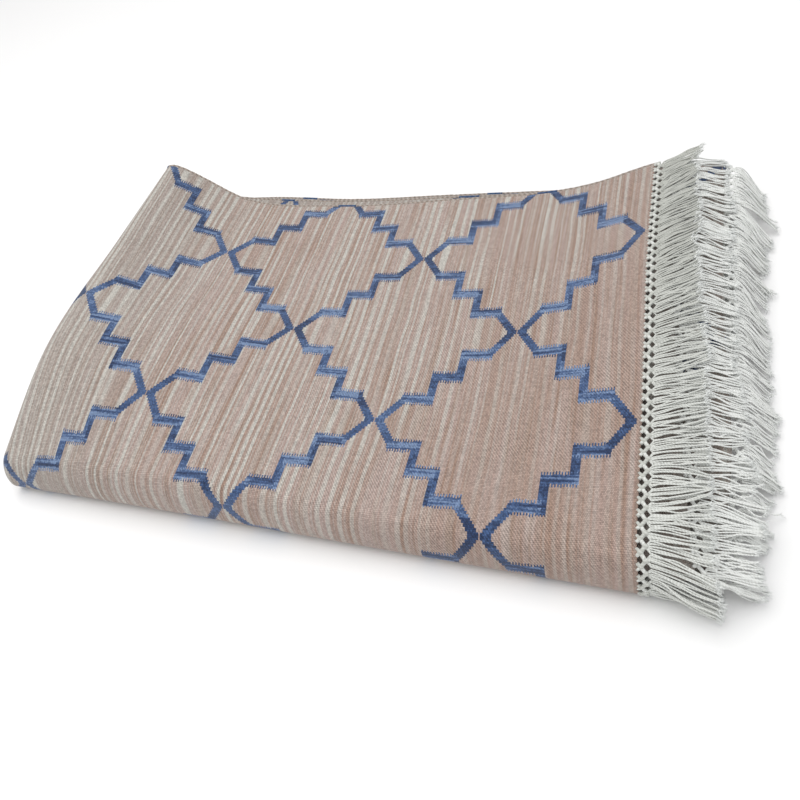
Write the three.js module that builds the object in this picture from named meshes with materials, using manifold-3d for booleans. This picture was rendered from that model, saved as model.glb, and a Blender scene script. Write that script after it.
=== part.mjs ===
import * as THREE from 'three';
import { mergeVertices } from 'three/addons/utils/BufferGeometryUtils.js';
import Module from 'manifold-3d';

// A flat woven kilim rug, folded in four and laid on the floor.
// The rug is folded once across its length (the fold at the left) and then once
// across its width (the fold at the near side), so four layers lie on each other.
// Along is the way of the warps, from the left fold to the knotted ends.
// Across runs from the near fold to the selvages at the far side. Millimetres.

const clothThickness = 3.3;
const layerGap = 2.2;
const baseLength = 823.5;
const baseWidth = 589.3;

// Space between the cloth's end and the heading strip, and how much more there is of it
// in the tight bend of the near fold
const edgeGap = 0.7;
const foldGap = 3.8;

// Near fold, of the outer pair of layers and of the pair inside it
const nearFoldDepth = 21.8;
const nearFoldShare = 0.371;
const innerFoldInset = 12;
const innerFoldSlimmest = 4;
const innerFoldDeepest = 8.5;

// Left fold: depth for each millimetre between the layers it joins
const leftFoldDepth = 0.493;
const leftFoldShare = 0.46;

// Grid of the cloth: steps along each stretch
const stepsAlongTop = 19;
const stepsRoundLeft = 12;
const stepsAlongUnder = 15;
const stepsAcrossUpper = 14;
const stepsRoundNear = 10;
const stepsAcrossLower = 10;

// Knotted heading and the tassels hanging from it
const knotPitch = 17;
const headingWidth = 16;
const headingThickness = 3.3;
const knotRise = 1.5;
const tasselLength = 68;
const tasselWidth = 6.5;
const tasselTipWidth = 8.5;
const tasselHeight = 3;
const tasselSteps = 3;
const tasselRoot = 4;
const headingInset = 1.5;
const knotAcrossHeading = 0.55;

// Heights of the tassels' tips: over the layer they rest on, in the bend of the near fold,
// and the most that the top ones drop there and on the flat
const tipOverLayer = 7.5;
const tipInBend = { outer: 10, inner: 8 };
const mostDropInBend = 20;
const mostDropOnTop = 5;

// Height of the top layer over the floor at stations along, for four lines across
const topHeights = [
  { along: 0.00, near: 54.7, inner: 125.1, outer: 134.9, far: 142.2 },
  { along: 0.16, near: 68.7, inner: 98.9, outer: 75.5, far: 52.8 },
  { along: 0.36, near: 76.6, inner: 68.8, outer: 47.4, far: 34.5 },
  { along: 0.58, near: 69.8, inner: 52.5, outer: 44.9, far: 38.7 },
  { along: 0.80, near: 66.1, inner: 57.4, outer: 56.5, far: 51.5 },
  { along: 1.00, near: 67.5, inner: 81.9, outer: 101.9, far: 97.5 },
];
const lineAcross = { near: 0, inner: 0.3, outer: 0.65, far: 1 };

// The hidden layers at stations along: how much of the top layer's height over the resting
// stack the third layer takes up, and the second layer's share of the room above the third
const lowerLayers = [
  { along: 0.00, share: 0.15, lift: 0.18 },
  { along: 0.16, share: 0.3, lift: 0.18 },
  { along: 0.36, share: 0.4, lift: 0.18 },
  { along: 0.78, share: 0.42, lift: 0.26 },
  { along: 1.00, share: 0.75, lift: 0.9 },
];
const restingTop = 30;
const liftFade = 330;

// Where the knotted ends lie, along, at stations across (mm)
const endReach = [
  { across: 0, top: 841, second: 57, third: 76, floor: 0 },
  { across: 30, top: 836, second: 53, third: 80, floor: 4 },
  { across: 160, top: 823, second: 42, third: 93, floor: 16 },
  { across: 290, top: 809, second: 34, third: 91, floor: 26 },
  { across: 420, top: 795, second: 31, third: 91, floor: 34 },
  { across: 615, top: 779, second: 23, third: 92, floor: 40 },
];

// Where the selvages lie, across, at stations along (mm)
const selvageReach = [
  { along: 0, top: 560, second: 18, third: 24, floor: 14 },
  { along: 140, top: 569, second: 24, third: 40, floor: 28 },
  { along: 300, top: 581, second: 26, third: 46, floor: 36 },
  { along: 460, top: 593, second: 26, third: 46, floor: 36 },
  { along: 630, top: 604, second: 24, third: 42, floor: 32 },
  { along: 800, top: 615, second: 14, third: 30, floor: 20 },
];

// How far the tassels swing to the far side, in degrees, at stations across
const tasselSwing = [
  { across: 0, top: -6, lower: -14 },
  { across: 60, top: 14, lower: -4 },
  { across: 230, top: 31, lower: 5 },
  { across: 430, top: 41, lower: 9 },
  { across: 615, top: 47, lower: 10 },
];
const beyondEndDroop = 0.1;

// Smooth curve through a table's column, with the slopes taken from its neighbours
function smoothColumn(places, values, at) {
  const last = places.length - 1;
  let k = 0;
  while (k < last - 1 && at >= places[k + 1]) k += 1;
  const slope = (q) => {
    const before = Math.max(q - 1, 0);
    const after = Math.min(q + 1, last);
    return (values[after] - values[before]) / (places[after] - places[before]);
  };
  const span = places[k + 1] - places[k];
  const t = (at - places[k]) / span;
  const t2 = t * t;
  const t3 = t2 * t;
  return (2 * t3 - 3 * t2 + 1) * values[k] + (t3 - 2 * t2 + t) * span * slope(k)
    + (3 * t2 - 2 * t3) * values[k + 1] + (t3 - t2) * span * slope(k + 1);
}

function tableValue(table, key, column, at) {
  const places = table.map((row) => row[key]);
  const held = THREE.MathUtils.clamp(at, places[0], places[places.length - 1]);
  return smoothColumn(places, table.map((row) => row[column]), held);
}

const mix = THREE.MathUtils.lerp;

function topHeight(x, y) {
  const along = THREE.MathUtils.clamp(x / baseLength, 0, 1.06);
  const across = THREE.MathUtils.clamp(y / baseWidth, 0, 1.06);
  const places = topHeights.map((row) => row.along);
  const lines = Object.keys(lineAcross);
  const atLines = lines.map(
    (line) => smoothColumn(places, topHeights.map((row) => row[line]), along));
  return smoothColumn(lines.map((line) => lineAcross[line]), atLines, across);
}

// Heights of the middle of the four layers over one place
function layerHeights(x, y) {
  const top = topHeight(x, y);
  const step = clothThickness + layerGap;
  const beyond = Math.max(x - tableValue(endReach, 'across', 'top', y), 0);
  const floor = clothThickness / 2;
  const lift = tableValue(lowerLayers, 'along', 'lift', x / baseLength);
  const held = Math.max(1 - beyond / liftFade, 0);
  const third = floor + step + lift * Math.max(top - restingTop, 0) * held;
  const share = tableValue(lowerLayers, 'along', 'share', x / baseLength);
  const room = Math.max(top - third - 2 * step, 0);
  const second = third + step + share * room - beyondEndDroop * beyond;
  return { top, second, third, floor };
}

// Reach of an open edge between the four layers: the top and floor layers are the outer pair
function reachOf(table, key, at, upperPair, inside) {
  const outer = (1 - upperPair) * tableValue(table, key, 'floor', at);
  const third = tableValue(table, key, 'third', at);
  const second = tableValue(table, key, 'second', at);
  return tableValue(table, key, 'top', at) + mix(outer, mix(third, second, upperPair), inside);
}

// Middle of the cloth: roundLeft turns from +90 degrees on the upper sheet to -90 on the
// sheet below it, roundNear from +90 on the upper pair to -90 on the lower pair, and
// alongRun and acrossRun go from a fold's end (0) to the open edge (1).
function clothPoint(roundLeft, alongRun, roundNear, acrossRun) {
  const leftUp = Math.sin(roundLeft);
  const nearUp = Math.sin(roundNear);
  const inside = (1 - leftUp) / 2;
  const upperPair = (1 + nearUp) / 2;
  let x = baseLength * alongRun;
  let y = baseWidth * acrossRun;
  for (let pass = 0; pass < 6; pass += 1) {
    const here = layerHeights(x, y);
    const atLeft = layerHeights(2, y);
    const innerDepth = THREE.MathUtils.clamp(
      0.5 * (here.second - here.third), innerFoldSlimmest, innerFoldDeepest);
    const nearDepth = mix(nearFoldDepth, innerDepth, inside);
    const nearStart = innerFoldInset * inside;
    const lowerRise = atLeft.third - atLeft.floor;
    const upperRise = atLeft.top - atLeft.second;
    const leftDepth = leftFoldDepth * mix(lowerRise, upperRise, upperPair);
    const end = reachOf(endReach, 'across', y, upperPair, inside);
    const edge = reachOf(selvageReach, 'along', x, upperPair, inside);
    const leftOff = leftDepth * (1 - Math.cos(roundLeft));
    const nearOff = nearStart + nearDepth * (1 - Math.cos(roundNear));
    x = alongRun > 0 ? mix(leftOff, end, alongRun) : leftOff;
    y = acrossRun > 0 ? mix(nearOff, edge, acrossRun) : nearOff;
  }
  const h = layerHeights(x, y);
  const upperMiddle = mix(h.second, h.top, leftFoldShare);
  const lowerMiddle = mix(h.floor, h.third, leftFoldShare);
  const bend = (from, above, below, up) => mix(from, up >= 0 ? above : below, Math.abs(up));
  const upper = bend(upperMiddle, h.top, h.second, leftUp);
  const lower = bend(lowerMiddle, h.floor, h.third, leftUp);
  const crease = mix(lower, upper, nearFoldShare);
  const z = bend(crease, upper, lower, nearUp);
  return new THREE.Vector3(x, y, z);
}

// Stations of the grid, from the first end of the rug over the left fold to its second end
function stations(stepsFirst, stepsRound, stepsSecond) {
  const list = [];
  for (let i = 0; i < stepsFirst; i += 1) list.push({ turn: Math.PI / 2, run: 1 - i / stepsFirst });
  for (let i = 0; i <= stepsRound; i += 1) list.push({ turn: Math.PI * (0.5 - i / stepsRound), run: 0 });
  for (let i = 1; i <= stepsSecond; i += 1) list.push({ turn: -Math.PI / 2, run: i / stepsSecond });
  return list;
}

function solidFromGrid(middle, normals, half) {
  const columns = middle.length;
  const rows = middle[0].length;
  const points = [];
  for (const side of [1, -1]) {
    for (let i = 0; i < columns; i += 1) {
      for (let j = 0; j < rows; j += 1) {
        const p = middle[i][j].clone().addScaledVector(normals[i][j], side * half);
        points.push(p.x, p.y, p.z);
      }
    }
  }
  const at = (side, i, j) => side * columns * rows + i * rows + j;
  const faces = [];
  const quad = (a, b, c, d) => faces.push(a, b, c, a, c, d);
  for (let i = 0; i < columns - 1; i += 1) {
    for (let j = 0; j < rows - 1; j += 1) {
      quad(at(0, i, j), at(0, i + 1, j), at(0, i + 1, j + 1), at(0, i, j + 1));
      quad(at(1, i, j), at(1, i, j + 1), at(1, i + 1, j + 1), at(1, i + 1, j));
    }
  }
  for (let i = 0; i < columns - 1; i += 1) {
    quad(at(0, i, 0), at(1, i, 0), at(1, i + 1, 0), at(0, i + 1, 0));
    quad(at(0, i, rows - 1), at(0, i + 1, rows - 1), at(1, i + 1, rows - 1), at(1, i, rows - 1));
  }
  for (let j = 0; j < rows - 1; j += 1) {
    quad(at(0, 0, j), at(0, 0, j + 1), at(1, 0, j + 1), at(1, 0, j));
    const end = columns - 1;
    quad(at(0, end, j), at(1, end, j), at(1, end, j + 1), at(0, end, j + 1));
  }
  return geometryFacingOut(points, faces);
}

// Geometry of a closed body, turned so that its faces point out
function geometryFacingOut(points, faces) {
  let volume = 0;
  const corner = (n) => new THREE.Vector3(points[3 * n], points[3 * n + 1], points[3 * n + 2]);
  for (let f = 0; f < faces.length; f += 3) {
    volume += corner(faces[f]).dot(corner(faces[f + 1]).cross(corner(faces[f + 2])));
  }
  const ordered = faces.slice();
  if (volume < 0) {
    for (let f = 0; f < ordered.length; f += 3) {
      ordered[f + 1] = faces[f + 2];
      ordered[f + 2] = faces[f + 1];
    }
  }
  const geometry = new THREE.BufferGeometry();
  geometry.setAttribute('position', new THREE.Float32BufferAttribute(points, 3));
  geometry.setIndex(ordered);
  return geometry;
}

const alongStations = stations(stepsAlongTop, stepsRoundLeft, stepsAlongUnder);
const acrossStations = stations(stepsAcrossUpper, stepsRoundNear, stepsAcrossLower);

const clothMiddle = alongStations.map(
  (a) => acrossStations.map((c) => clothPoint(a.turn, a.run, c.turn, c.run)));

function buildCloth() {
  const normals = clothMiddle.map((column, i) => column.map((_, j) => {
    const before = clothMiddle[Math.max(i - 1, 0)][j];
    const after = clothMiddle[Math.min(i + 1, clothMiddle.length - 1)][j];
    const left = column[Math.max(j - 1, 0)];
    const right = column[Math.min(j + 1, column.length - 1)];
    const normal = after.clone().sub(before).cross(right.clone().sub(left)).normalize();
    const onUpperSheet = alongStations[i].turn > Math.PI / 2 - 1e-6;
    const flat = onUpperSheet && acrossStations[j].turn <= -Math.PI / 2 + 1e-6;
    return flat ? new THREE.Vector3(0, 0, Math.sign(normal.z)) : normal;
  }));
  return solidFromGrid(clothMiddle, normals, clothThickness / 2);
}

// The open end of the rug, from its far selvage round the near fold to the other selvage:
// places along it, with the outward and the upward way of the cloth there
function endLine(column, nextColumn) {
  const edges = clothMiddle[column];
  const rows = acrossStations.map((c, j) => ({
    edge: edges[j],
    outward: edges[j].clone().sub(clothMiddle[nextColumn][j]).normalize(),
    nearUp: Math.sin(c.turn),
  }));
  const lengths = [0];
  for (let j = 1; j < rows.length; j += 1) {
    lengths.push(lengths[j - 1] + rows[j].edge.distanceTo(rows[j - 1].edge));
  }
  const total = lengths[lengths.length - 1];
  const placeAt = (s) => {
    let k = 0;
    while (k < rows.length - 2 && lengths[k + 1] < s) k += 1;
    const t = THREE.MathUtils.clamp((s - lengths[k]) / (lengths[k + 1] - lengths[k]), 0, 1);
    const edge = rows[k].edge.clone().lerp(rows[k + 1].edge, t);
    const outward = rows[k].outward.clone().lerp(rows[k + 1].outward, t).normalize();
    const lineAt = (j) => rows[Math.min(j + 1, rows.length - 1)].edge.clone()
      .sub(rows[Math.max(j - 1, 0)].edge).normalize();
    const line = lineAt(k).lerp(lineAt(k + 1), t).normalize();
    const up = line.clone().cross(outward).normalize();
    const nearUp = mix(rows[k].nearUp, rows[k + 1].nearUp, t);
    if (nearUp < -0.999 && column === 0) up.set(0, 0, -1);
    return { edge, outward, up, nearUp };
  };
  return { total, placeAt };
}

// Backing strip of one end, with the knots raised on it; knots lie in every second section
function headingStrip(end, knots) {
  const points = [];
  const faces = [];
  const sections = 2 * knots + 1;
  const half = headingThickness / 2;
  const ring = 6;
  for (let i = 0; i < sections; i += 1) {
    const place = end.placeAt(mix(headingInset, end.total - headingInset, i / (sections - 1)));
    // The knots stand on the side that is seen from above
    const rise = i % 2 === 1 ? knotRise : 0;
    const riseOuter = rise * Math.max(place.nearUp, 0);
    const riseInner = rise * Math.max(-place.nearUp, 0);
    const spot = (out, lift) => {
      const p = place.edge.clone().addScaledVector(place.outward, out).addScaledVector(place.up, lift);
      points.push(p.x, p.y, p.z);
    };
    const gap = edgeGap + foldGap * (1 - Math.abs(place.nearUp));
    spot(gap, -half);
    spot(gap, half);
    spot(headingWidth * knotAcrossHeading, half + riseOuter);
    spot(headingWidth, half);
    spot(headingWidth, -half);
    spot(headingWidth * knotAcrossHeading, -half - riseInner);
  }
  for (let i = 0; i < sections - 1; i += 1) {
    for (let k = 0; k < ring; k += 1) {
      const a = i * ring + k;
      const b = i * ring + ((k + 1) % ring);
      faces.push(a, b, b + ring, a, b + ring, a + ring);
    }
  }
  const last = (sections - 1) * ring;
  for (let k = 1; k < ring - 1; k += 1) {
    faces.push(0, k + 1, k);
    faces.push(last, last + k, last + k + 1);
  }
  return geometryFacingOut(points, faces);
}

// One tassel: three sided, level below and ridged above, from inside the strip to its tip
function tassel(start, heading, length, tipHeight, slope) {
  const points = [];
  const faces = [];
  const side = new THREE.Vector3(-heading.y, heading.x, 0);
  for (let i = 0; i <= tasselSteps; i += 1) {
    const t = i / tasselSteps;
    const t2 = t * t;
    const t3 = t2 * t;
    const z = (2 * t3 - 3 * t2 + 1) * start.z + (t3 - 2 * t2 + t) * slope * length
      + (3 * t2 - 2 * t3) * tipHeight + (t3 - t2) * (tipHeight - start.z) * 0.7;
    const width = mix(tasselWidth, tasselTipWidth, t) / 2;
    const foot = Math.max(z - tasselHeight / 2, i === 0 ? 0.2 : 0);
    const x = start.x + heading.x * length * t;
    const y = start.y + heading.y * length * t;
    points.push(x + side.x * width, y + side.y * width, foot);
    points.push(x - side.x * width, y - side.y * width, foot);
    points.push(x, y, foot + tasselHeight);
  }
  for (let i = 0; i < tasselSteps; i += 1) {
    for (let k = 0; k < 3; k += 1) {
      const a = i * 3 + k;
      const b = i * 3 + ((k + 1) % 3);
      faces.push(a, b, b + 3, a, b + 3, a + 3);
    }
  }
  const last = tasselSteps * 3;
  faces.push(0, 2, 1, last, last + 1, last + 2);
  return geometryFacingOut(points, faces);
}

const wasm = await Module();
wasm.setup();

function toManifold(geometry) {
  const merged = mergeVertices(geometry, 1e-5);
  return new wasm.Manifold(new wasm.Mesh({
    numProp: 3,
    vertProperties: new Float32Array(merged.attributes.position.array),
    triVerts: new Uint32Array(merged.index.array),
  }));
}

function toGeometry(manifold) {
  const mesh = manifold.getMesh();
  const geometry = new THREE.BufferGeometry();
  geometry.setAttribute('position', new THREE.BufferAttribute(mesh.vertProperties, 3));
  geometry.setIndex(new THREE.BufferAttribute(mesh.triVerts, 1));
  return geometry;
}

// Height that the tips of one stretch of tassels come down to; those of the top layer
// lie on the second layer and drop little
function tipHeightOver(outer, place, startHeight, x, y) {
  const here = layerHeights(x, y);
  const bottom = tasselHeight / 2;
  const upper = (outer ? here.second : here.third) + tipOverLayer;
  const middle = outer ? tipInBend.outer : tipInBend.inner;
  if (place.nearUp < 0) return mix(middle, bottom, -place.nearUp);
  const tip = mix(middle, upper, place.nearUp);
  const mostDrop = mix(mostDropInBend, mostDropOnTop, Math.min(1.3 * place.nearUp, 1));
  return outer ? Math.max(tip, startHeight - mostDrop) : tip;
}

function buildFringe(outer) {
  const last = clothMiddle.length - 1;
  const end = outer ? endLine(0, 1) : endLine(last, last - 1);
  const knots = Math.round(end.total / knotPitch);
  let body = toManifold(headingStrip(end, knots));
  for (let k = 0; k < knots; k += 1) {
    const at = mix(headingInset, end.total - headingInset, (2 * k + 1) / (2 * knots));
    const place = end.placeAt(at);
    const resting = place.nearUp < -0.999 && outer;
    const outward = place.outward;
    const start = place.edge.clone().addScaledVector(outward, headingWidth - tasselRoot);
    if (!resting) start.z = Math.max(start.z, tasselHeight / 2 + 0.3);
    const onTop = place.nearUp > 0.2 && outer;
    const swing = tableValue(tasselSwing, 'across', onTop ? 'top' : 'lower', place.edge.y);
    const turned = THREE.MathUtils.degToRad(swing + 3 * Math.sin(k * 2.4));
    const angle = Math.atan2(outward.y, outward.x) + turned;
    const heading = new THREE.Vector3(Math.cos(angle), Math.sin(angle), 0);
    const length = tasselLength + 4 * Math.sin(k * 1.7);
    const tipX = start.x + heading.x * length;
    const tipY = start.y + heading.y * length;
    const slope = THREE.MathUtils.clamp(outward.z / Math.hypot(outward.x, outward.y), -0.4, 0.25);
    const tip = resting ? tasselHeight / 2 : tipHeightOver(outer, place, start.z, tipX, tipY);
    const drop = Math.min(Math.abs(start.z - tip), 0.75 * length);
    const reach = Math.sqrt(length * length - drop * drop);
    body = body.add(toManifold(tassel(start, heading, reach, tip, resting ? 0 : slope)));
  }
  return toGeometry(body);
}

const clothMaterial = new THREE.MeshStandardMaterial({ color: 0xbea596, roughness: 0.95, metalness: 0 });
const fringeMaterial = new THREE.MeshStandardMaterial({ color: 0xc8cbc3, roughness: 0.95, metalness: 0 });

const pieces = [
  { name: 'kilim_cloth', geometry: buildCloth(), material: clothMaterial },
  { name: 'fringe_first_end', geometry: buildFringe(true), material: fringeMaterial },
  { name: 'fringe_second_end', geometry: buildFringe(false), material: fringeMaterial },
];

// The pile's origin is under the middle of its bounding box
const whole = new THREE.Box3();
for (const piece of pieces) {
  piece.geometry.computeBoundingBox();
  whole.union(piece.geometry.boundingBox);
}
const centre = whole.getCenter(new THREE.Vector3());

const rug = new THREE.Group();
rug.name = 'kilim_rug';
for (const piece of pieces) {
  piece.geometry.translate(-centre.x, -centre.y, -whole.min.z);
  const mesh = new THREE.Mesh(piece.geometry, piece.material);
  mesh.name = piece.name;
  rug.add(mesh);
}

export default rug;
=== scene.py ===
import math
import bpy
import numpy as np
from mathutils import Matrix, Vector


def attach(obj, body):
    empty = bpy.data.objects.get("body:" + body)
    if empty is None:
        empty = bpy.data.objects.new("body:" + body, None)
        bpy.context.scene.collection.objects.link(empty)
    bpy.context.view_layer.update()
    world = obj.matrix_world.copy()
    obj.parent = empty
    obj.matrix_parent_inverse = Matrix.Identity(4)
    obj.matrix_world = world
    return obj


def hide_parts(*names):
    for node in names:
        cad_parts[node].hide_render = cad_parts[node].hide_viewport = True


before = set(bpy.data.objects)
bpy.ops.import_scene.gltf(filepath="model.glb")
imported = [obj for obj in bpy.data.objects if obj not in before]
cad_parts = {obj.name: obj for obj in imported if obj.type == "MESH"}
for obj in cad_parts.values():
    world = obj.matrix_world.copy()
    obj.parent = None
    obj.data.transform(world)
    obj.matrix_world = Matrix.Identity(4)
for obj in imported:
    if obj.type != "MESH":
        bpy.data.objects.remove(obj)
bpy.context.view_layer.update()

rng = np.random.default_rng(41)
millimetre = 0.001
quarter = math.pi / 2     # the turn at which a layer lies flat, on either side of a fold
tiny = 1e-6

# camera
photoView = dict(
    aim=(501.5, 225.6, 0.0),      # mm, from the corner of the left and near folds
    azimuth=33.08, elevation=48.63, roll=-20.03, distance=1133.1,
    lens=38.4, sensor=36.0, clipEnd=50.0,
)
pileCentre = (494.337, 319.933)   # middle of the folded rug, from the same corner, mm


def placeCamera(view):
    az, el, roll = (math.radians(view[k]) for k in ("azimuth", "elevation", "roll"))
    back = Vector((math.sin(az) * math.cos(el), -math.cos(az) * math.cos(el), math.sin(el)))
    right = Vector((math.cos(az), math.sin(az), 0.0))
    up = back.cross(right)
    turnedRight = right * math.cos(roll) + up * math.sin(roll)
    turnedUp = up * math.cos(roll) - right * math.sin(roll)
    aim = Vector((view["aim"][0] - pileCentre[0], view["aim"][1] - pileCentre[1], view["aim"][2]))
    spot = (aim + back * view["distance"]) * millimetre
    data = bpy.data.cameras.new("photoCamera")
    data.lens = view["lens"]
    data.sensor_width = view["sensor"]
    data.sensor_fit = "HORIZONTAL"
    data.clip_end = view["clipEnd"]
    camera = bpy.data.objects.new("photoCamera", data)
    turn = Matrix((turnedRight, turnedUp, back)).transposed().to_4x4()
    camera.matrix_world = Matrix.Translation(spot) @ turn
    bpy.context.scene.collection.objects.link(camera)
    bpy.context.scene.camera = camera


placeCamera(photoView)
print("camera placed")

# the folded form
pile = dict(
    thickness=3.3, layerGap=2.2, baseLength=823.5, baseWidth=589.3,
    nearDepth=21.8, nearShare=0.371, innerInset=12.0, innerSlimmest=4.0, innerDeepest=8.5,
    leftDepth=0.493, leftShare=0.46, restingTop=30.0, liftFade=330.0, endDroop=0.1,
    innerShare=0.5, foldStation=2, pastEdge=1.06, fitRounds=6,
)
topHeights = dict(            # mm over the floor, at shares of the length, for four lines across
    along=(0.0, 0.16, 0.36, 0.58, 0.80, 1.0),
    near=(54.7, 68.7, 76.6, 69.8, 66.1, 67.5),
    inner=(125.1, 98.9, 68.8, 52.5, 57.4, 81.9),
    outer=(134.9, 75.5, 47.4, 44.9, 56.5, 101.9),
    far=(142.2, 56.0, 34.5, 38.7, 51.5, 97.5),
)
lineAcross = dict(near=0.0, inner=0.3, outer=0.65, far=1.0)
lowerLayers = dict(
    along=(0.0, 0.16, 0.36, 0.78, 1.0),
    share=(0.15, 0.3, 0.4, 0.42, 0.75),      # of the room over the third layer, to the second
    lift=(0.18, 0.18, 0.18, 0.26, 0.9),      # of the top layer's rise, to the third
)
endReach = dict(              # the knotted ends, mm
    across=(0, 30, 160, 290, 420, 615),
    top=(841, 836, 823, 809, 795, 779),
    second=(57, 53, 42, 34, 31, 23),
    third=(76, 80, 93, 91, 91, 92),
    floor=(0, 4, 16, 26, 34, 40),
)
selvageReach = dict(          # the open selvages, mm
    along=(0, 140, 300, 460, 630, 800),
    top=(560, 569, 581, 593, 604, 615),
    second=(18, 28, 22, 20, 18, 12),
    third=(24, 50, 40, 41, 40, 29),
    floor=(14, 28, 36, 36, 32, 20),
)
# how far the top layer's selvage is drawn back, so that the ones under it show past it
topSelvageBack = dict(along=(0, 70, 150, 280, 560, 700, 760, 800), mm=(0, 0, 12, 10, 8, 7, 0, 0))
pattern = dict(               # half repeats of the trellis in mm, and where the cloth ends in them
    along=158.0, across=150.06, firstEnd=4.028, secondEnd=-7.03, selvage=-0.97, otherSelvage=7.03,
    slack=2.0,                # half repeats past the left fold that take up the rest of the length
)


def hermite(t, start, leaving, stop, arriving, width=1.0):
    return ((2 * t**3 - 3 * t**2 + 1) * start + (t**3 - 2 * t**2 + t) * width * leaving
            + (3 * t**2 - 2 * t**3) * stop + (t**3 - t**2) * width * arriving)


# smooth curve through stations; values may hold one column for each point of at
def smoothColumn(stations, values, at):
    stations = np.asarray(stations, float)
    values = [np.asarray(v, float) for v in values]
    at = np.asarray(at, float)
    last = len(stations) - 1
    span = np.clip(np.searchsorted(stations, at, side="right") - 1, 0, last - 1)
    slopes = []
    for q in range(last + 1):
        before, after = max(q - 1, 0), min(q + 1, last)
        slopes.append((values[after] - values[before]) / (stations[after] - stations[before]))
    out = np.zeros(np.broadcast(at, values[0]).shape)
    for k in range(last):
        here = span == k
        width = stations[k + 1] - stations[k]
        t = (at - stations[k]) / width
        curve = hermite(t, values[k], slopes[k], values[k + 1], slopes[k + 1], width)
        out = np.where(here, curve, out)
    return out


# a table's column at places along its first one
def tableValue(table, column, at):
    places = table[next(iter(table))]
    return smoothColumn(places, table[column], np.clip(at, places[0], places[-1]))


def mix(a, b, t):
    return a + (b - a) * t


def unit(vectors):
    return vectors / np.linalg.norm(vectors, axis=-1, keepdims=True)


def lengthsAlong(line):
    return np.concatenate([[0], np.cumsum(np.linalg.norm(np.diff(line, axis=0), axis=1))])


def topHeight(x, y):
    along = np.clip(x / pile["baseLength"], 0, pile["pastEdge"])
    across = np.clip(y / pile["baseWidth"], 0, pile["pastEdge"])
    lines = [smoothColumn(topHeights["along"], topHeights[name], along) for name in lineAcross]
    return smoothColumn(list(lineAcross.values()), lines, across)


def layerHeights(x, y):
    top = topHeight(x, y)
    step = pile["thickness"] + pile["layerGap"]
    beyond = np.maximum(x - tableValue(endReach, "top", y), 0)
    floor = pile["thickness"] / 2 + 0 * top
    lift = tableValue(lowerLayers, "lift", x / pile["baseLength"])
    fade = np.maximum(1 - beyond / pile["liftFade"], 0)
    third = floor + step + lift * np.maximum(top - pile["restingTop"], 0) * fade
    share = tableValue(lowerLayers, "share", x / pile["baseLength"])
    room = np.maximum(top - third - 2 * step, 0)
    second = third + step + share * room - pile["endDroop"] * beyond
    return top, second, third, floor


# middle of the cloth, in mm from the corner of the folds, for arrays of stations
def clothPoints(leftTurn, alongRun, nearTurn, acrossRun):
    leftUp, nearUp = np.sin(leftTurn), np.sin(nearTurn)
    inside, upperPair = (1 - leftUp) / 2, (1 + nearUp) / 2
    x = pile["baseLength"] * alongRun + 0 * nearUp
    y = pile["baseWidth"] * acrossRun + 0 * leftUp
    for _ in range(pile["fitRounds"]):
        _, second, third, _ = layerHeights(x, y)
        topLeft, secondLeft, thirdLeft, floorLeft = layerHeights(pile["foldStation"] + 0 * x, y)
        innerDepth = np.clip(pile["innerShare"] * (second - third), pile["innerSlimmest"],
                             pile["innerDeepest"])
        nearDepth = mix(pile["nearDepth"], innerDepth, inside)
        leftDepth = pile["leftDepth"] * mix(thirdLeft - floorLeft, topLeft - secondLeft, upperPair)
        endTop = tableValue(endReach, "top", y)
        outerEnd = endTop + (1 - upperPair) * tableValue(endReach, "floor", y)
        innerEnd = endTop + mix(tableValue(endReach, "third", y),
                                tableValue(endReach, "second", y), upperPair)
        edgeTop = tableValue(selvageReach, "top", x)
        outerEdge = (edgeTop + (1 - upperPair) * tableValue(selvageReach, "floor", x)
                     - upperPair * tableValue(topSelvageBack, "mm", x))
        innerEdge = edgeTop + mix(tableValue(selvageReach, "third", x),
                                  tableValue(selvageReach, "second", x), upperPair)
        leftOff = leftDepth * (1 - np.cos(leftTurn))
        nearOff = pile["innerInset"] * inside + nearDepth * (1 - np.cos(nearTurn))
        x = mix(leftOff, mix(outerEnd, innerEnd, inside), alongRun)
        y = mix(nearOff, mix(outerEdge, innerEdge, inside), acrossRun)
    top, second, third, floor = layerHeights(x, y)
    upperMiddle, lowerMiddle = mix(second, top, pile["leftShare"]), mix(floor, third, pile["leftShare"])
    upper = np.where(leftUp >= 0, mix(upperMiddle, top, leftUp), mix(upperMiddle, second, -leftUp))
    lower = np.where(leftUp >= 0, mix(lowerMiddle, floor, leftUp), mix(lowerMiddle, third, -leftUp))
    crease = mix(lower, upper, pile["nearShare"])
    z = np.where(nearUp >= 0, mix(crease, upper, nearUp), mix(crease, lower, -nearUp))
    return np.stack([x, y, z], -1)


def stations(stepsFirst, stepsRound, stepsSecond):
    turns = np.concatenate([np.full(stepsFirst, quarter), np.linspace(quarter, -quarter, stepsRound + 1),
                            np.full(stepsSecond, -quarter)])
    runs = np.concatenate([np.linspace(1, 0, stepsFirst, endpoint=False), np.zeros(stepsRound + 1),
                           np.linspace(0, 1, stepsSecond + 1)[1:]])
    return turns, runs


def toFrame(points):
    moved = np.asarray(points, float) - np.array([pileCentre[0], pileCentre[1], 0.0])
    return moved * millimetre


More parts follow.
